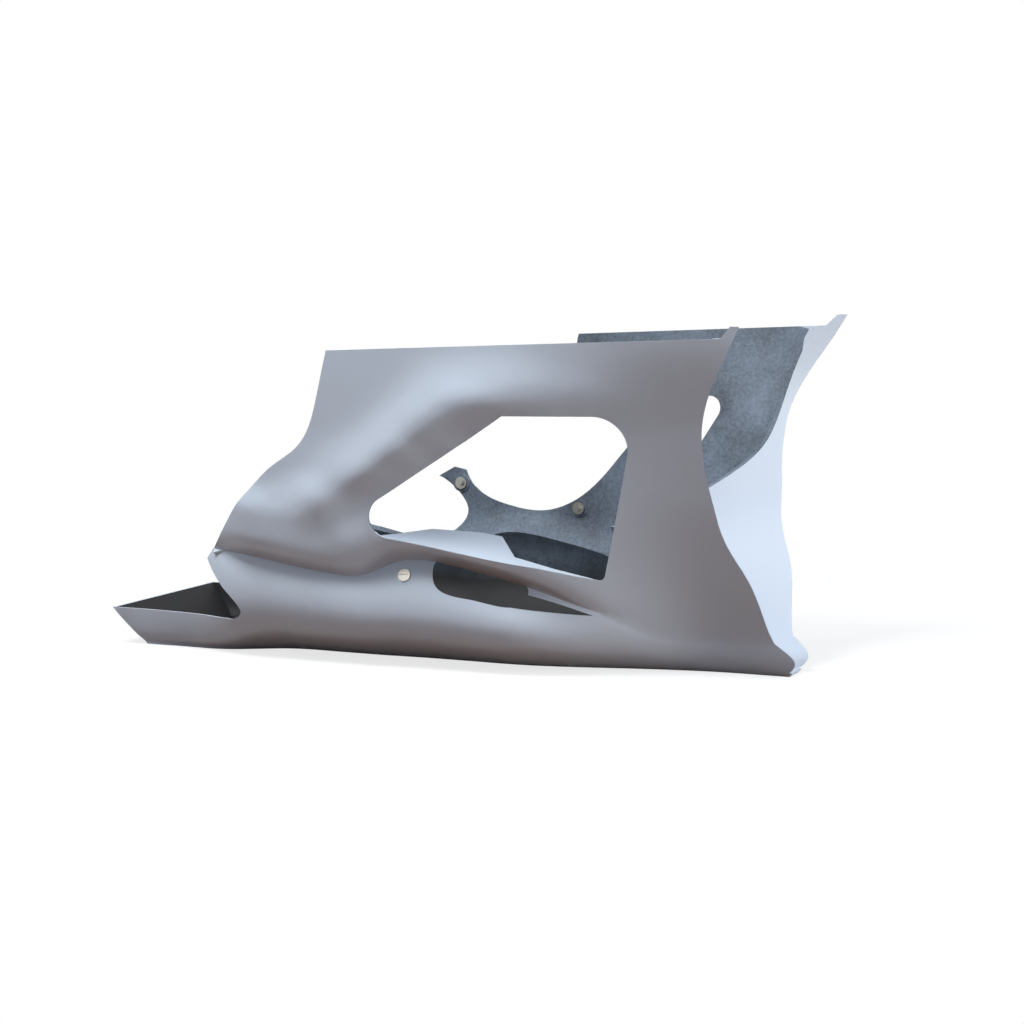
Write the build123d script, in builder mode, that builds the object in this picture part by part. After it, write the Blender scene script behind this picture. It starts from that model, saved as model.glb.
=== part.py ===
from build123d import *
import math
import os

os.makedirs("parts", exist_ok=True)

# Lower fairing, one thin moulding with three quarter-turn fasteners.
# Millimetres. +X forward, +Y to the left side, +Z up, underside of the keel at Z = 0.

# Laminate
WALL = 2.5                 # skin
FRONT_WALL = 5.0           # setback of the inner face of the front recess
SECTIONS = 24              # loft sections along the body
PANEL_STEPS = 14           # spline steps up each side panel
BELLY_STEPS = 20           # spline steps round the belly

# Ends of the moulded body
REAR_END = -478.0
FRONT_END = 372.0
MOULD_TOP = 425.0          # trimmed off by the top edge
TOP_HEIGHT = 370.0         # top edge above the middle of the part
TOP_SLOPE = 0.045          # the top edge rises towards the front
CORNER_RISE = 13.0         # peak of the front top corners above the top edge
CORNER_SETBACK = 24.0      # peak behind the wheel centre
CORNER_LENGTH = 12.0       # over which the top edge turns up to the peak

# Belly
BELLY_HALF_WIDTH = 158.0
KEEL_HALF_WIDTH = 45.0     # flat strip that the part rests on
CHIN_HALF_WIDTH = 12.0
CHIN_ROUNDING = 0.45
TAIL_HALF_WIDTH = 96.0
TAIL_SPREAD = (-345.0, -230.0)  # the keel strip widens rearward between these
TAIL_TAPER = [(-478, 38), (-400, 33), (-345, 24), (-315, 9), (-285, 0)]   # place and narrowing each side
SHOULDER_TURN = 115.0      # degrees from the keel round to the crease
UNDERCUT_HEIGHT = 14.0     # how fast the panel comes out again above the crease
SLOT_GROOVE = 18.0         # extra depth of the crease at the slot
GROOVE_REAR = (-150.0, -60.0)
GROOVE_FRONT = (60.0, 170.0)
GROOVE_TURN = 50.0         # degrees round the shoulder where the groove starts
KEEL_LAND = 0.3            # the keel is trimmed flat by this much
KEEL_SHARE = 0.1           # share of the way round each half that is keel
CREASE_SHARE = 0.5         # share of the way round each half where the crease lies

# Height and half width of the side panels, behind and at the leading edge
FLANK = [(0, 160), (100, 168), (200, 172), (260, 178), (320, 184), (375, 187), (430, 189)]
BOW = [(0, 15), (32, 30), (80, 57), (139, 91), (196, 120), (236, 136),
       (269, 149), (297, 160), (324, 173), (361, 190), (387, 199), (430, 205)]
BOW_BLEND = (20.0, 290.0)  # the flank turns into the bow between these

# Crease between panel and belly, as place along the part and height
CREASE = [(-338, 128), (-315, 127), (-131, 105), (-68, 126), (31, 111), (153, 73), (223, 40), (372, 40)]

# Leading edge, as height and place along the part
LEADING_EDGE = [(-20, 350), (4, 347), (32, 338), (80, 323), (139, 305), (196, 291),
                (236, 285.5), (269, 285), (297, 290.5), (324, 302.5), (361, 322), (387, 338), (440, 366)]

# Front recess that clears the wheel
RECESS_RADIUS = 253.0
RECESS_CENTRE = (358.0, 257.0)
RECESS_FLOOR = 9.0
RECESS_FRONT = 400.0
RECESS_CORNER = 6.0
RECESS_LEVELS = [9, 32, 80, 139, 196, 250, 300, 350, 390, 435]
CHIN_FLOOR = 5.0           # solid laminate under the recess
CHIN_NOSE = [(350, 7), (348, 3), (345, 0)]

# Free edge of the front flange, as half width and height
FLANGE_EDGE = [(0, 158), (69, 197), (126, 247), (160, 320), (180, 400)]

# Edges and openings in side view, as place along the part and height
RIGHT_REAR_EDGE = [(-146, 363.4), (-160, 312), (-188, 254), (-224, 229), (-259, 194), (-283, 164), (-321, 126)]
LEFT_REAR_EDGE = [(9, 370.4), (14, 330), (40, 306), (90, 302), (112, 282), (91, 247), (43, 192), (10, 166),
                  (-27, 153), (-75, 157), (-117, 173), (-136, 199)]
LEFT_ARM_TIP = [(-136, 199), (-152, 202), (-173, 190)]
LEFT_ARM_FOOT = [(-173, 190), (-138, 163), (-132, 150), (-150, 122), (-190, 114), (-330, 114)]
TAIL_EDGE = [(-330, 114), (-310, 91), (-296, 78), (-283, 65), (-279, 55), (-287, 47), (-300, 45)]
WINDOW = [(68, 296), (214, 298), (162, 111), (98, 125.5), (-144, 162)]
WINDOW_RADII = [6, 34, 7, 60, 24]
SLOT_TOP = [(-38, 114), (19, 104), (88, 89), (146, 70)]
SLOT_BOTTOM = [(146, 70), (79, 76), (24, 84), (-10, 91), (-29, 100), (-38, 114)]
FRONT_HOLE = [(168, 254), (186, 285)]     # middle and upper end
FRONT_HOLE_WIDTH = 30.0
SIDE_REACH = 260.0         # cuts run this far out to each side
OPENING_START = 60.0       # openings of one side start this far from the middle

# Sill inside the window, as place along the part, reach inward and rise
SILL = [(-96, 3, 2), (-76, 10, 7), (-39, 25, 18), (17, 35, 24), (42, 37, 24), (66, 13, 8), (112, 6, 4), (150, 4, 2)]
SILL_DROP = 2.0            # outer end of the sill below the window's edge
SILL_OVERRUN = 2.0         # run of the sill through the skin before it is trimmed

# Relief of the right-hand panel, ridges as (x, z, height) with their spread above and below
RIDGE = [(-160, 194, 15), (-78, 242, 20), (5, 304, 20), (70, 318, 15), (140, 316, 8), (210, 312, 2)]
RIDGE_SPREAD = (36.0, 24.0)
SPUR = [(-146, 143, 5), (-100, 178, 6)]
SPUR_SPREAD = (14.0, 14.0)
BULGE_HEIGHT = 10.0
BULGE_REAR = (-300.0, -260.0)
BULGE_FRONT = (-175.0, -140.0)
BULGE_TOP = (184.0, 214.0)

# Rear tab, folded inward, as places along and off its fold line
FOLD_FOOT = (-321.0, 126.0)
FOLD_HEAD = (-259.0, 194.0)
TAB_OUTLINE = [(3, -8), (3, 18), (20, 27), (50, 27), (86, 6), (86, -8)]
TAB_RADII = [0.5, 6, 10, 10, 3, 0.5]
TAB_TURN = 42.0            # further turn inward at the fold
TAB_HOLE = (37, 16)
TAB_HOLE_RADIUS = 4.0

# Tail spout, the belly run on as an open trough with a sloped end wall
SPOUT_RIM_END = -474.0
SPOUT_FLOOR_END = -435.0
END_WALL = 3.5             # end wall, measured along the part

# Quarter-turn fasteners, as name, place in side view and side
FASTENERS = [("arm_fastener", (-142, 182), 1), ("side_fastener", (17, 157), 1), ("recess_fastener", (-72, 108), -1)]
PAD_RADIUS = 11.0
PAD_DEPTH = 3.6
HEAD_RADIUS = 8.0
HEAD_HEIGHT = 2.4
HEAD_ROUNDING = 1.2
HEAD_MARGIN = 1.0          # clear round the head
PAD_REACH = 12.0           # the skin is cleared this far out over a pad
DRIVE_SLOT = (10.4, 1.6, 1.2)   # length, width and depth
SHANK_RADIUS = 3.5
SHANK_END = 9.0            # below the seat
BORE_CLEARANCE = 0.3
SEAT_GAP = 0.1
RING_RADIUS = 7.5
RING_HEIGHT = 1.6


def curve(points, place):
    """Smooth value at a place between a few given ones, without overshoot."""
    if place <= points[0][0]:
        return points[0][1]
    if place >= points[-1][0]:
        return points[-1][1]
    count = len(points)
    slope = [(points[i + 1][1] - points[i][1]) / (points[i + 1][0] - points[i][0]) for i in range(count - 1)]
    lean = [slope[0]] + [0.0] * (count - 2) + [slope[-1]]
    for i in range(1, count - 1):
        if slope[i - 1] * slope[i] > 0:
            lean[i] = 2 * slope[i - 1] * slope[i] / (slope[i - 1] + slope[i])
    i = 0
    while place > points[i + 1][0]:
        i += 1
    width = points[i + 1][0] - points[i][0]
    t = (place - points[i][0]) / width
    return ((2 * t**3 - 3 * t * t + 1) * points[i][1] + (t**3 - 2 * t * t + t) * width * lean[i]
            + (3 * t * t - 2 * t**3) * points[i + 1][1] + (t**3 - t * t) * width * lean[i + 1])


def ease(start, end, value):
    """0 before start, 1 after end, smooth between."""
    t = min(1.0, max(0.0, (value - start) / (end - start)))
    return t * t * (3 - 2 * t)


def ridge(x, z, line, above, below):
    """Soft ridge along a line in side view, with its own spread on each side."""
    nearest, height, lean = math.inf, 0.0, 0.0
    for (x0, z0, h0), (x1, z1, h1) in zip(line, line[1:]):
        length = math.hypot(x1 - x0, z1 - z0)
        reach = ((x - x0) * (x1 - x0) + (z - z0) * (z1 - z0)) / length
        reach = min(length, max(0.0, reach)) / length
        distance = math.hypot(x - x0 - (x1 - x0) * reach, z - z0 - (z1 - z0) * reach)
        if distance < nearest:
            nearest = distance
            height = h0 + (h1 - h0) * reach
            lean = ((x1 - x0) * (z - z0) - (z1 - z0) * (x - x0)) / length / max(distance, 0.001)
    spread = (above + below) / 2 + (above - below) / 2 * lean
    return height * math.exp(-(nearest / spread) ** 2)


def relief(x, z):
    """Height of the raised forms on the right-hand panel."""
    out = ridge(x, z, RIDGE, *RIDGE_SPREAD) + ridge(x, z, SPUR, *SPUR_SPREAD)
    along = ease(*BULGE_REAR, x) * (1 - ease(*BULGE_FRONT, x))
    return out + BULGE_HEIGHT * along * (1 - ease(*BULGE_TOP, z))


def flank(x, z):
    """Half width of the side panel."""
    bow = ease(*BOW_BLEND, x)
    return curve(FLANK, z) * (1 - bow) + curve(BOW, z) * bow


def half_section(x, turn, right):
    """Half width and height at a share 0 to 1 of the way from keel to top."""
    bow = ease(*BOW_BLEND, x)
    tail = 1 - ease(*TAIL_SPREAD, x)
    keel = KEEL_HALF_WIDTH * (1 - bow) + CHIN_HALF_WIDTH * bow + (TAIL_HALF_WIDTH - KEEL_HALF_WIDTH) * tail
    crease = curve(CREASE, x)
    last = math.radians(SHOULDER_TURN * (1 - bow) + 90 * bow)
    wide = BELLY_HALF_WIDTH * (1 - bow) + curve(BOW, crease) * bow - curve(TAIL_TAPER, x)
    groove = SLOT_GROOVE * ease(*GROOVE_REAR, x) * (1 - ease(*GROOVE_FRONT, x)) if right else 0.0

    def shoulder(angle):
        share = (1 - math.cos(angle)) / (1 - math.cos(last))
        rounding = CHIN_ROUNDING * bow
        out = keel + (wide - keel) * ((1 - rounding) * math.sin(angle) + rounding * share)
        return out - groove * ease(math.radians(GROOVE_TURN), last, angle) ** 1.5, crease * share

    if turn <= KEEL_SHARE:
        out, height = keel * turn / KEEL_SHARE, 0.0
    elif turn <= CREASE_SHARE:
        out, height = shoulder(last * (turn - KEEL_SHARE) / (CREASE_SHARE - KEEL_SHARE))
    else:
        inset, _ = shoulder(last)
        height = crease + (MOULD_TOP - crease) * (turn - CREASE_SHARE) / (1 - CREASE_SHARE)
        fade = math.exp(-(height - crease) / UNDERCUT_HEIGHT)
        out = flank(x, height) - curve(TAIL_TAPER, x)
        out += (inset + curve(TAIL_TAPER, x) - flank(x, crease)) * fade
        if right:
            out += relief(x, height) * (1 - fade)
    return out, height - KEEL_LAND


def outside(x, turn):
    """Point on the outer skin, turn -1 at the right-hand top to 1 at the left-hand top."""
    out, height = half_section(x, abs(turn), turn < 0)
    return Vector(x, math.copysign(out, turn), height)


def inside(x, turn):
    """Point one wall in from the outer skin."""
    here = outside(x, turn)
    along = outside(x + 1, turn) - outside(x - 1, turn)
    across = outside(x, min(1.0, turn + 0.004)) - outside(x, max(-1.0, turn - 0.004))
    normal = across.cross(along).normalized()
    if normal.dot(Vector(0, -here.Y, TOP_HEIGHT - here.Z)) < 0:
        normal = normal * -1
    return here + normal * WALL


def mould(point, start, end, top):
    """Solid lofted through sections of a skin, each two panels, a belly and a flat lid."""
    spans = [(-1.0, -CREASE_SHARE, PANEL_STEPS), (-CREASE_SHARE, CREASE_SHARE, BELLY_STEPS),
             (CREASE_SHARE, 1.0, PANEL_STEPS)]
    with BuildPart() as body:
        for i in range(SECTIONS + 1):
            x = start + (end - start) * i / SECTIONS
            edges = []
            for first, last, steps in spans:
                places = [point(x, first + (last - first) * j / steps) for j in range(steps + 1)]
                flat = [Vector(place.Y, place.Z) for place in places]
                if first == -1.0:
                    flat[0] = Vector(flat[0].X, top)
                if last == 1.0:
                    flat[-1] = Vector(flat[-1].X, top)
                edges.append(Edge.make_spline(flat, parameters=[j / steps for j in range(steps + 1)]))
            edges.append(Edge.make_line(edges[-1].position_at(1), edges[0].position_at(0)))
            with BuildSketch(Plane.YZ.offset(x)):
                add(Face(Wire(edges)))
        loft()
    return body.part


def recess(setback, bottom):
    """Wheel recess between the leading edges, as a loft of rounded wedges."""
    with BuildPart() as body:
        for level in [bottom] + RECESS_LEVELS:
            height = max(level, RECESS_FLOOR)
            drop = max(0.0, RECESS_CENTRE[1] - height)
            apex = RECESS_CENTRE[0] - math.sqrt(RECESS_RADIUS**2 - drop**2)
            reach = (RECESS_FRONT - apex) / (curve(LEADING_EDGE, height) - apex) * curve(BOW, height)
            with BuildSketch(Plane.XY.offset(level)) as wedge:
                with BuildLine():
                    Polyline((apex - setback, 0), (RECESS_FRONT - setback, reach),
                             (RECESS_FRONT - setback, -reach), close=True)
                make_face()
                fillet(wedge.vertices().sort_by(Axis.X)[0], radius=RECESS_CORNER)
        loft()
    return body.part


def turn_at(x, z, side):
    """Share of the way round at which the skin of one side passes a height."""
    low, high = KEEL_SHARE, 1.0
    while high - low > 1e-6:
        turn = (low + high) / 2
        if half_section(x, turn, side < 0)[1] < z:
            low = turn
        else:
            high = turn
    return low


def skin_plane(x, z, side):
    """Plane on the outer skin at a place in side view, its normal outward."""
    turn = turn_at(x, z, side)
    along = outside(x + 2, side * turn) - outside(x - 2, side * turn)
    across = outside(x, side * (turn + 0.01)) - outside(x, side * (turn - 0.01))
    normal = across.cross(along).normalized()
    if normal.Y * side < 0:
        normal = normal * -1
    return Plane(origin=outside(x, side * turn), x_dir=along.normalized(), z_dir=normal)


def window_edge(x):
    """Height of the straight lower edges of the window."""
    front, middle, rear = WINDOW[2:]
    near, far = (rear, middle) if x < middle[0] else (middle, front)
    return near[1] + (far[1] - near[1]) * (x - near[0]) / (far[0] - near[0])


def sill():
    """Sloped shelf that runs in from the lower edge of the window."""
    with BuildPart() as body:
        for x, reach, rise in SILL:
            foot = window_edge(x) - SILL_DROP
            skin = outside(x, -turn_at(x, foot, -1)).Y
            start = (skin - SILL_OVERRUN, foot - SILL_OVERRUN * rise / reach)
            end = (skin + reach, foot + rise)
            with BuildSketch(Plane.YZ.offset(x)):
                with BuildLine():
                    Polyline(start, end, (end[0], end[1] - WALL), (start[0], start[1] - WALL), close=True)
                make_face()
        loft(ruled=True)
    return body.part


fold_foot = skin_plane(*FOLD_FOOT, -1)
fold_head = skin_plane(*FOLD_HEAD, -1)
fold_line = (fold_head.origin - fold_foot.origin).normalized()
fold_turn = Axis((0, 0, 0), tuple(fold_line))
tab_plane = Plane(origin=fold_foot.origin, x_dir=fold_line, z_dir=fold_head.z_dir.rotate(fold_turn, -TAB_TURN))
seats = [skin_plane(*place, side) for name, place, side in FASTENERS]
outer_form = mould(outside, REAR_END, FRONT_END, MOULD_TOP)

with BuildPart() as fairing_shell:
    add(outer_form)
    add(recess(0.0, CHIN_FLOOR), mode=Mode.SUBTRACT)
    with BuildPart(mode=Mode.PRIVATE) as hollow:
        add(mould(inside, REAR_END - 1, FRONT_END + 1, MOULD_TOP + 5))
        add(recess(FRONT_WALL, -12.0), mode=Mode.SUBTRACT)
    add(hollow.part, mode=Mode.SUBTRACT)

    # Side-view trim, right and left
    corner_x = RECESS_CENTRE[0] - CORNER_SETBACK
    top_front = (corner_x - CORNER_LENGTH, TOP_HEIGHT + TOP_SLOPE * corner_x)
    peak = (corner_x, top_front[1] + CORNER_RISE)
    spout_end = [(SPOUT_FLOOR_END, 0), (SPOUT_RIM_END, TAIL_EDGE[-1][1])]
    around = [top_front, peak, (FRONT_END + 10, peak[1]), (FRONT_END + 10, CHIN_NOSE[0][1]), *CHIN_NOSE, *spout_end]
    with BuildPart(mode=Mode.PRIVATE) as keep:
        with BuildSketch(Plane.XZ):
            with BuildLine():
                Spline(*RIGHT_REAR_EDGE)
                Line(RIGHT_REAR_EDGE[-1], TAIL_EDGE[0])
                Spline(*TAIL_EDGE)
                Polyline(RIGHT_REAR_EDGE[0], *around, TAIL_EDGE[-1])
            make_face()
        extrude(amount=SIDE_REACH)
        with BuildSketch(Plane.XZ):
            with BuildLine():
                Spline(*LEFT_REAR_EDGE)
                Polyline(*LEFT_ARM_TIP)
                Spline(*LEFT_ARM_FOOT)
                Spline(*TAIL_EDGE)
                Polyline(LEFT_REAR_EDGE[0], *around, TAIL_EDGE[-1])
            make_face()
        extrude(amount=-SIDE_REACH)
    add(keep.part, mode=Mode.INTERSECT)

    # Free edge of the front flange
    with BuildSketch(Plane.YZ.offset(RECESS_CENTRE[0] - RECESS_RADIUS - 10)):
        with BuildLine():
            Spline(*[(-y, z) for y, z in FLANGE_EDGE[:0:-1]], *FLANGE_EDGE)
            Line(FLANGE_EDGE[-1], (-FLANGE_EDGE[-1][0], FLANGE_EDGE[-1][1]))
        make_face()
    extrude(amount=RECESS_RADIUS + 20, mode=Mode.SUBTRACT)

    # Window and slot of the right-hand side
    with BuildSketch(Plane.XZ.offset(OPENING_START)):
        with BuildLine():
            FilletPolyline(*WINDOW, radius=WINDOW_RADII, close=True)
        make_face()
        with BuildLine():
            Spline(*SLOT_TOP)
            Spline(*SLOT_BOTTOM)
        make_face()
    extrude(amount=SIDE_REACH, mode=Mode.SUBTRACT)

    # Front hole of the left-hand side
    with BuildSketch(Plane.XZ.offset(-OPENING_START)):
        SlotCenterPoint(FRONT_HOLE[0], FRONT_HOLE[1], FRONT_HOLE_WIDTH)
    extrude(amount=-SIDE_REACH, mode=Mode.SUBTRACT)

    # Sill, trimmed to the outer form
    with BuildPart(mode=Mode.PRIVATE) as shelf:
        add(outer_form)
        add(sill(), mode=Mode.INTERSECT)
    add(shelf.part)

    # Rear tab and its hole
    with BuildSketch(tab_plane):
        with BuildLine():
            FilletPolyline(*TAB_OUTLINE, radius=TAB_RADII, close=True)
        make_face()
        with Locations(TAB_HOLE):
            Circle(TAB_HOLE_RADIUS, mode=Mode.SUBTRACT)
    extrude(amount=-WALL)

    # End wall of the tail spout
    with BuildPart(mode=Mode.PRIVATE) as end_wall:
        add(outer_form)
        with BuildSketch(Plane.XZ):
            with BuildLine():
                inner_end = [(x + END_WALL, z) for x, z in spout_end[::-1]]
                Polyline(*spout_end, *inner_end, close=True)
            make_face()
        extrude(amount=SIDE_REACH, both=True, mode=Mode.INTERSECT)
    add(end_wall.part)

    # Flat bored pads let into the skin for the fasteners
    with BuildPart(mode=Mode.PRIVATE) as cores:
        for seat in seats:
            with BuildSketch(seat.offset(-SHANK_END)):
                Circle(HEAD_RADIUS + HEAD_MARGIN)
            extrude(amount=SHANK_END + PAD_REACH)
    add(cores.part, mode=Mode.SUBTRACT)
    for seat in seats:
        with BuildSketch(seat.offset(-PAD_DEPTH)):
            Circle(PAD_RADIUS)
            Circle(SHANK_RADIUS + BORE_CLEARANCE, mode=Mode.SUBTRACT)
        extrude(amount=PAD_DEPTH)

fairing_shell.part.label = "fairing_shell"
export_step(fairing_shell.part, "parts/fairing_shell.step")

# Each fastener is a slotted head on a shank, held by a ring behind the skin
for (name, _, _), seat in zip(FASTENERS, seats):
    with BuildPart() as stud:
        with BuildSketch(seat.offset(SEAT_GAP)):
            Circle(HEAD_RADIUS)
        extrude(amount=HEAD_HEIGHT)
        rims = stud.edges().filter_by(GeomType.CIRCLE)
        fillet(rims.sort_by(lambda rim: seat.to_local_coords(rim.center()).Z)[-1], radius=HEAD_ROUNDING)
        with BuildSketch(seat.offset(-SHANK_END)):
            Circle(SHANK_RADIUS)
        extrude(amount=SHANK_END + SEAT_GAP)
        with BuildSketch(seat.offset(SEAT_GAP + HEAD_HEIGHT)):
            Rectangle(DRIVE_SLOT[0], DRIVE_SLOT[1])
        extrude(amount=-DRIVE_SLOT[2], mode=Mode.SUBTRACT)
    stud.part.label = name
    export_step(stud.part, f"parts/{name}.step")

    with BuildPart() as ring:
        with BuildSketch(seat.offset(-PAD_DEPTH - SEAT_GAP)):
            Circle(RING_RADIUS)
            Circle(SHANK_RADIUS + SEAT_GAP, mode=Mode.SUBTRACT)
        extrude(amount=-RING_HEIGHT)
    ring_name = name.replace("fastener", "ring")
    ring.part.label = ring_name
    export_step(ring.part, f"parts/{ring_name}.step")
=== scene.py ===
"""Lower fairing of a motorcycle, a glass fibre moulding with quarter-turn fasteners, in a studio."""

import math

import bpy
from bpy.props import FloatProperty, FloatVectorProperty, PointerProperty
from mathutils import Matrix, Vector


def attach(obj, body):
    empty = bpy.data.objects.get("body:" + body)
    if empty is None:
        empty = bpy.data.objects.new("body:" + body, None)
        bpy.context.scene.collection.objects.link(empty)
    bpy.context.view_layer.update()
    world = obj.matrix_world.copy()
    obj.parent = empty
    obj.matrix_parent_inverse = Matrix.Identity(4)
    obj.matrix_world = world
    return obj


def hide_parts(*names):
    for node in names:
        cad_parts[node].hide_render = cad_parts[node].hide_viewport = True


bl_info = {
    "name": "Lower fairing",
    "version": (1, 0, 0),
    "blender": (4, 2, 0),
    "location": "View3D > Sidebar > Fairing",
    "description": "Dresses the moulded lower fairing and sets up its studio",
    "category": "Object",
}

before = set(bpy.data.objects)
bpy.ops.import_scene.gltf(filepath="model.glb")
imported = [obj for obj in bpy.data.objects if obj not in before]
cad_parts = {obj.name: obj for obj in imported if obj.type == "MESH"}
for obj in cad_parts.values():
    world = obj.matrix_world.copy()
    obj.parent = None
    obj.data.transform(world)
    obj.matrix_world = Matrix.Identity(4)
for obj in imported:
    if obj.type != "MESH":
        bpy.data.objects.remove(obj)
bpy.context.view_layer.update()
SHELL_NODE = "fairing_shell"
METAL_NODES = sorted(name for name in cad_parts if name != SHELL_NODE)

# Places on the moulding, in metres
BODY_AXIS_HEIGHT = 0.18    # the skin faces away from this line, its inside towards it
RECESS_START = 0.08        # in front of this the wheel recess closes the body
CHIN_START = 0.30          # in front of this there is gelcoat on both sides
CHIN_ROOT = 0.25           # below the top of the chin that starts here
CHIN_TOP = 0.08
TAIL_START = -0.25         # behind this the rim of the spout is a cut edge
RIM_LOWEST = 0.03          # and stands above this
SILL_LOWEST = 0.1          # on the right-hand side only the sill and the rims look up above this

# How a face lies, as parts of its normal
STEEP = 0.3                # leans this far along the part: recess and not skin
LOOKS_UP = 0.7             # sill and rims
LIES_FLAT = 0.98           # rim of the spout
LEANS_LEFT = 0.1           # skin on the right-hand side seen from inside leans more than this

# Grain of the finishes, in metres
SKIN_WAVE = 0.025          # faint waviness of a hand-laid skin
SKIN_WAVE_DEPTH = 0.001
FIBRE_WIDTH = 0.004        # bundles of chopped fibre
FIBRE_DEPTH = 0.0006
CLOUD_WIDTH = 0.06         # patches richer in resin
PAINTED_SHADE_LEVEL = (0.075, 0.115)   # painted shade darkens the laminate low in the belly up to here, with an uneven edge
PAINTED_SHADE_WANDER = 0.02        # how much that level varies

MOTTLE_RANGE = (0.7, 1.3)      # sum of both noises from the darkest spot to the palest
MOTTLE_SHADES = (0.55, 1.5)    # those spots as shares of the laminate's colour

# Light from the world, in linear red, green and blue
SKY_LIGHT = (0.23, 0.30, 0.39)        # soft cool light from above
HORIZON_LIGHT = (0.24, 0.22, 0.19)    # warmer and weaker light from all round
HORIZON_SPREAD = (0.0, 0.25)          # share of the way up between the two

# The floor keeps more of its shadow near the part and runs into the backdrop further out
FADE_REACH = (0.4, 0.9)
FADE_SHARE = (0.75, 1.0)

# Soft lights: name, place, aim, size, watts and tint
LIGHTS = (
    ("overhead_light", (-0.7, -1.1, 2.4), (-0.1, 0.0, 0.2), 0.9, 66.0, (0.96, 0.98, 1.0)),
    ("front_light", (2.6, 0.0, 0.9), (0.2, 0.0, 0.2), 1.2, 60.0, (1.0, 1.0, 1.0)),
    ("side_fill", (0.9, -3.0, 1.4), (0.0, 0.0, 0.2), 1.6, 9.0, (0.86, 0.93, 1.0)),
)

SENSOR_WIDTH = 36.0        # millimetres
VIEW_END = 50.0            # metres


def linear(hex_colour):
    """Linear red, green and blue of an sRGB hex colour."""
    shares = [int(hex_colour[i:i + 2], 16) / 255 for i in (1, 3, 5)]
    return [share / 12.92 if share <= 0.04045 else ((share + 0.055) / 1.055) ** 2.4 for share in shares]


def colour(name, description, hex_colour):
    """Colour property with a default in hex."""
    return FloatVectorProperty(name=name, description=description, subtype="COLOR", size=3,
                               min=0.0, max=1.0, default=linear(hex_colour))


class FairingFinish(bpy.types.PropertyGroup):
    gelcoat: colour("Gelcoat", "Outer face of the moulding", "#BCC5D0")
    laminate: colour("Laminate", "Bare glass fibre inside the panels", "#656E79")
    # Painted shade: near black laid on the laminate low inside the belly and the spout, where shade falls
    painted_shade: colour("Resin", "Sealed inside of the belly and the spout", "#19191C")
    steel: colour("Steel", "Quarter-turn fasteners", "#B9B6AE")
    smooth_angle: FloatProperty(name="Smooth angle", description="Edges sharper than this stay crisp",
                                subtype="ANGLE", default=math.radians(35))
    merge_distance: FloatProperty(name="Merge distance", description="Corners closer than this become one",
                                  subtype="DISTANCE", unit="LENGTH", default=0.00002, precision=6)


class FairingStudio(bpy.types.PropertyGroup):
    backdrop: colour("Backdrop", "Colour behind the part", "#FFFFFF")
    floor: colour("Floor", "Floor as it lights the part from below", "#6B4A36")
    floor_size: FloatProperty(name="Floor size", description="Side of the square floor",
                              subtype="DISTANCE", unit="LENGTH", default=12.0)
    azimuth: FloatProperty(name="Azimuth", description="Turn of the camera round the part",
                           subtype="ANGLE", default=math.radians(23.5))
    elevation: FloatProperty(name="Elevation", description="Camera angle above the floor",
                             subtype="ANGLE", default=math.radians(6.4))
    distance: FloatProperty(name="Distance", description="Camera to the middle of the part",
                            subtype="DISTANCE", unit="LENGTH", default=3.0)
    aim_height: FloatProperty(name="Aim height", description="Height that the camera looks at",
                              subtype="DISTANCE", unit="LENGTH", default=0.169)
    lens: FloatProperty(name="Lens", description="Focal length in millimetres", default=90.14)


def add_node(tree, kind, inputs=None, **settings):
    """Adds a node with its settings, each input a value or another node's output."""
    node = tree.nodes.new(kind)
    for name, value in settings.items():
        setattr(node, name, value)
    for name, value in (inputs or {}).items():
        if isinstance(value, bpy.types.NodeSocket):
            tree.links.new(value, node.inputs[name])
        else:
            node.inputs[name].default_value = value
    return node


def new_material(name, inputs):
    """Material with one principled shader, its tree and that shader."""
    material = bpy.data.materials.new(name)
    material.use_nodes = True
    tree = material.node_tree
    shader = next(node for node in tree.nodes if node.type == "BSDF_PRINCIPLED")
    for key, value in inputs.items():
        shader.inputs[key].default_value = value
    return material, tree, shader


def rgba(rgb):
    """Colour with full cover, as sockets take it."""
    return (*rgb, 1.0)


def satin_gelcoat(finish):
    """Pigmented polyester gelcoat off a satin mould: an even pale skin with broad soft highlights."""
    material, tree, shader = new_material("satin_gelcoat", {
        "Base Color": rgba(finish.gelcoat), "Roughness": 0.26, "IOR": 1.5})
    place = add_node(tree, "ShaderNodeTexCoord").outputs["Object"]
    wave = add_node(tree, "ShaderNodeTexNoise", {"Vector": place, "Scale": 1 / SKIN_WAVE, "Detail": 1.0})
    bump = add_node(tree, "ShaderNodeBump", {
        "Height": wave.outputs[0], "Strength": 0.04, "Distance": SKIN_WAVE_DEPTH})
    tree.links.new(bump.outputs["Normal"], shader.inputs["Normal"])
    return material


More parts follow.
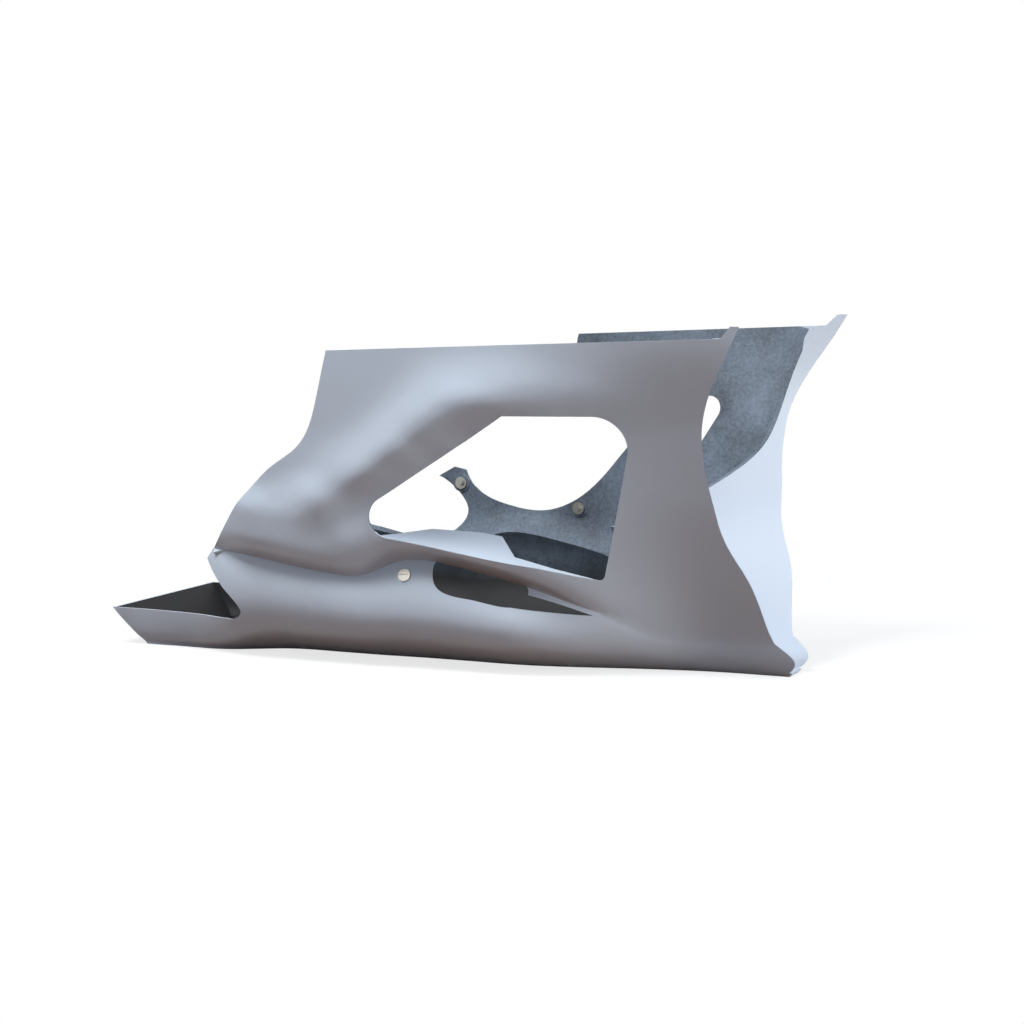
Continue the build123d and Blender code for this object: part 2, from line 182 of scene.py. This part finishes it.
def bare_laminate(finish):
    """Chopped glass mat in polyester resin, hand laid: mottled grey, with painted shade that turns it nearly
    black low in the belly.
    """
    material, tree, shader = new_material("bare_laminate", {"Roughness": 0.6, "Specular IOR Level": 0.25})
    place = add_node(tree, "ShaderNodeTexCoord").outputs["Object"]
    fibre = add_node(tree, "ShaderNodeTexNoise", {
        "Vector": place, "Scale": 1 / FIBRE_WIDTH, "Detail": 4.0, "Roughness": 0.7})
    cloud = add_node(tree, "ShaderNodeTexNoise", {"Vector": place, "Scale": 1 / CLOUD_WIDTH, "Detail": 2.0})
    mottle = add_node(tree, "ShaderNodeMath", {0: fibre.outputs[0], 1: cloud.outputs[0]}, operation="ADD")
    share = add_node(tree, "ShaderNodeMapRange", {
        0: mottle.outputs[0], 1: MOTTLE_RANGE[0], 2: MOTTLE_RANGE[1]})
    dark, pale = (rgba(Vector(finish.laminate) * shade) for shade in MOTTLE_SHADES)
    bare = add_node(tree, "ShaderNodeMix", {0: share.outputs[0], 6: dark, 7: pale}, data_type="RGBA")
    # The painted shade low in the belly ends in a soft line that follows the clouds
    height = add_node(tree, "ShaderNodeSeparateXYZ", {0: place}).outputs["Z"]
    wander = add_node(tree, "ShaderNodeMath", {
        0: cloud.outputs[0], 1: PAINTED_SHADE_WANDER, 2: height}, operation="MULTIPLY_ADD")
    shade_share = add_node(tree, "ShaderNodeMapRange", {
        0: wander.outputs[0], 1: PAINTED_SHADE_LEVEL[0], 2: PAINTED_SHADE_LEVEL[1], 3: 1.0, 4: 0.0})
    shaded_laminate = add_node(tree, "ShaderNodeMix", {
        0: shade_share.outputs[0], 6: bare.outputs[2], 7: rgba(finish.painted_shade)}, data_type="RGBA")
    tree.links.new(shaded_laminate.outputs[2], shader.inputs["Base Color"])
    bump = add_node(tree, "ShaderNodeBump", {
        "Height": fibre.outputs[0], "Strength": 0.5, "Distance": FIBRE_DEPTH})
    tree.links.new(bump.outputs["Normal"], shader.inputs["Normal"])
    return material


def zinc_plated_steel(finish):
    """Pressed steel with bright zinc plating: a small hard glint on each head."""
    return new_material("zinc_plated_steel", {
        "Base Color": rgba(finish.steel), "Metallic": 1.0, "Roughness": 0.3})[0]


def deselect_all():
    """Leaves Blender in object mode with nothing selected."""
    if bpy.context.object and bpy.context.object.mode != "OBJECT":
        bpy.ops.object.mode_set(mode="OBJECT")
    bpy.ops.object.select_all(action="DESELECT")


def welded_copy(node, name, finish):
    """Copy of a frame node with its loose triangles joined and its soft forms shaded smooth."""
    deselect_all()
    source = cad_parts[node]
    source.select_set(True)
    bpy.context.view_layer.objects.active = source
    bpy.ops.object.duplicate()
    piece = bpy.context.object
    piece.name = name
    for key in list(piece.keys()):
        del piece[key]
    piece.parent = None
    piece.data.materials.clear()
    bpy.ops.object.mode_set(mode="EDIT")
    bpy.ops.mesh.select_all(action="SELECT")
    bpy.ops.mesh.remove_doubles(threshold=finish.merge_distance)
    bpy.ops.object.mode_set(mode="OBJECT")
    bpy.ops.mesh.customdata_custom_splitnormals_clear()
    bpy.ops.object.shade_smooth_by_angle(angle=finish.smooth_angle)
    return piece


def is_bare(face):
    """True for a face on the inside of the moulding, where the laminate has no gelcoat."""
    place, normal = face.center, face.normal
    if place.x > (CHIN_ROOT if place.z < CHIN_TOP else CHIN_START):
        return False
    if place.x < TAIL_START and place.z > RIM_LOWEST and normal.z > LIES_FLAT:
        return False
    if place.y < 0 and place.z > SILL_LOWEST and normal.z > LOOKS_UP and normal.y < LEANS_LEFT:
        return False
    if place.x > RECESS_START and abs(normal.x) > STEEP:
        return normal.x < 0
    outward = Vector((0.0, place.y, place.z - BODY_AXIS_HEIGHT))
    return normal.dot(outward) < 0


def paint_faces(piece, material, wanted):
    """Gives the faces that a test picks their own material."""
    piece.data.materials.append(material)
    piece.active_material_index = len(piece.data.materials) - 1
    bpy.ops.object.mode_set(mode="EDIT")
    bpy.ops.mesh.select_mode(type="FACE")
    bpy.ops.mesh.select_all(action="DESELECT")
    bpy.ops.object.mode_set(mode="OBJECT")
    for face in piece.data.polygons:
        face.select = wanted(face)
    bpy.ops.object.mode_set(mode="EDIT")
    bpy.ops.object.material_slot_assign()
    bpy.ops.object.mode_set(mode="OBJECT")


class FAIRING_OT_shell(bpy.types.Operator):
    """Moulded shell, gelcoat outside and bare laminate inside"""
    bl_idname = "fairing.shell"
    bl_label = "Moulded shell"

    def execute(self, context):
        finish = context.scene.fairing_finish
        shell = welded_copy(SHELL_NODE, "moulded_shell", finish)
        shell.data.materials.append(satin_gelcoat(finish))
        paint_faces(shell, bare_laminate(finish), is_bare)
        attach(shell, "root")
        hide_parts(SHELL_NODE)
        return {"FINISHED"}


class FAIRING_OT_fasteners(bpy.types.Operator):
    """Quarter-turn fasteners with their retaining rings"""
    bl_idname = "fairing.fasteners"
    bl_label = "Fasteners"

    def execute(self, context):
        finish = context.scene.fairing_finish
        steel = zinc_plated_steel(finish)
        for node in METAL_NODES:
            piece = welded_copy(node, "plated_" + node, finish)
            piece.data.materials.append(steel)
            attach(piece, "root")
            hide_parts(node)
        return {"FINISHED"}


def soft_light(name, place, aim, size, power, tint):
    """Square studio light turned towards a point."""
    deselect_all()
    bpy.ops.object.light_add(type="AREA", location=place)
    lamp = bpy.context.object
    lamp.name = name
    lamp.data.size = size
    lamp.data.energy = power
    lamp.data.color = tint
    lamp.rotation_euler = (Vector(aim) - Vector(place)).to_track_quat("-Z", "Y").to_euler()


def seen_and_felt(tree, seen, felt):
    """Colour for the camera and for reflections, and another one for the light that bounces."""
    path = add_node(tree, "ShaderNodeLightPath")
    mirror = add_node(tree, "ShaderNodeMath", {
        0: path.outputs["Is Glossy Ray"], 1: path.outputs["Is Transmission Ray"]}, operation="MAXIMUM")
    direct = add_node(tree, "ShaderNodeMath", {
        0: path.outputs["Is Camera Ray"], 1: mirror.outputs[0]}, operation="MAXIMUM")
    return add_node(tree, "ShaderNodeMix", {0: direct.outputs[0], 6: felt, 7: rgba(seen)}, data_type="RGBA")


def painted_floor(studio):
    """Matt floor paint: warm in the light that it throws back, pale to the camera with a soft shadow."""
    material, tree, shader = new_material("painted_floor", {"Roughness": 0.9, "Specular IOR Level": 0.1})
    shown = seen_and_felt(tree, studio.backdrop, rgba(studio.floor))
    tree.links.new(shown.outputs[2], shader.inputs["Base Color"])
    glow = add_node(tree, "ShaderNodeEmission", {"Color": rgba(studio.backdrop)})
    place = add_node(tree, "ShaderNodeTexCoord").outputs["Object"]
    away = add_node(tree, "ShaderNodeVectorMath", {0: place}, operation="LENGTH")
    path = add_node(tree, "ShaderNodeLightPath")
    spread = add_node(tree, "ShaderNodeMapRange", {
        0: away.outputs["Value"], 1: FADE_REACH[0], 2: FADE_REACH[1], 3: FADE_SHARE[0], 4: FADE_SHARE[1]})
    seen = add_node(tree, "ShaderNodeMath", {
        0: spread.outputs[0], 1: path.outputs["Is Camera Ray"]}, operation="MULTIPLY")
    mixed = add_node(tree, "ShaderNodeMixShader", {
        0: seen.outputs[0], 1: shader.outputs[0], 2: glow.outputs[0]})
    output = next(node for node in tree.nodes if node.type == "OUTPUT_MATERIAL")
    tree.links.new(mixed.outputs[0], output.inputs["Surface"])
    return material


def studio_backdrop(scene, studio):
    """World that is plain to the camera and lights the part with a cool sky and a warmer horizon."""
    world = bpy.data.worlds.new("studio_backdrop")
    world.use_nodes = True
    scene.world = world
    tree = world.node_tree
    background = next(node for node in tree.nodes if node.type == "BACKGROUND")
    way = add_node(tree, "ShaderNodeTexCoord").outputs["Generated"]
    height = add_node(tree, "ShaderNodeSeparateXYZ", {0: way}).outputs["Z"]
    share = add_node(tree, "ShaderNodeMapRange", {0: height, 1: HORIZON_SPREAD[0], 2: HORIZON_SPREAD[1]})
    sky = add_node(tree, "ShaderNodeMix", {
        0: share.outputs[0], 6: rgba(HORIZON_LIGHT), 7: rgba(SKY_LIGHT)}, data_type="RGBA")
    shown = seen_and_felt(tree, studio.backdrop, sky.outputs[2])
    tree.links.new(shown.outputs[2], background.inputs["Color"])


def studio_camera(scene, studio):
    """Camera that looks at the part from its right-hand front."""
    aim = Vector((0.0, 0.0, studio.aim_height))
    back = Vector((math.sin(studio.azimuth) * math.cos(studio.elevation),
                   -math.cos(studio.azimuth) * math.cos(studio.elevation), math.sin(studio.elevation)))
    deselect_all()
    bpy.ops.object.camera_add(location=aim + back * studio.distance)
    camera = bpy.context.object
    camera.rotation_euler = (-back).to_track_quat("-Z", "Y").to_euler()
    camera.data.sensor_width = SENSOR_WIDTH
    camera.data.lens = studio.lens
    camera.data.clip_end = VIEW_END
    scene.camera = camera


class FAIRING_OT_studio(bpy.types.Operator):
    """Pale floor, soft lights and the camera"""
    bl_idname = "fairing.studio"
    bl_label = "Studio"

    def execute(self, context):
        studio = context.scene.fairing_studio
        deselect_all()
        bpy.ops.mesh.primitive_plane_add(size=studio.floor_size)
        floor = context.object
        floor.name = "studio_floor"
        floor.data.materials.append(painted_floor(studio))
        studio_backdrop(context.scene, studio)
        for light in LIGHTS:
            soft_light(*light)
        studio_camera(context.scene, studio)
        context.scene.view_settings.view_transform = "Standard"
        return {"FINISHED"}


class FAIRING_PT_panel(bpy.types.Panel):
    """Builds the fairing's pieces and its studio"""
    bl_idname = "FAIRING_PT_panel"
    bl_label = "Lower fairing"
    bl_space_type = "VIEW_3D"
    bl_region_type = "UI"
    bl_category = "Fairing"

    def draw(self, context):
        for operator in OPERATORS:
            self.layout.operator(operator.bl_idname)
        for group in (context.scene.fairing_finish, context.scene.fairing_studio):
            for name in group.__annotations__:
                self.layout.prop(group, name)


OPERATORS = (FAIRING_OT_shell, FAIRING_OT_fasteners, FAIRING_OT_studio)
CLASSES = (FairingFinish, FairingStudio, *OPERATORS, FAIRING_PT_panel)


def register():
    for cls in CLASSES:
        bpy.utils.register_class(cls)
    bpy.types.Scene.fairing_finish = PointerProperty(type=FairingFinish)
    bpy.types.Scene.fairing_studio = PointerProperty(type=FairingStudio)


def unregister():
    del bpy.types.Scene.fairing_studio
    del bpy.types.Scene.fairing_finish
    for cls in reversed(CLASSES):
        bpy.utils.unregister_class(cls)


def main():
    register()
    bpy.ops.fairing.shell()
    bpy.ops.fairing.fasteners()
    bpy.ops.fairing.studio()


if __name__ == "__main__":
    main()
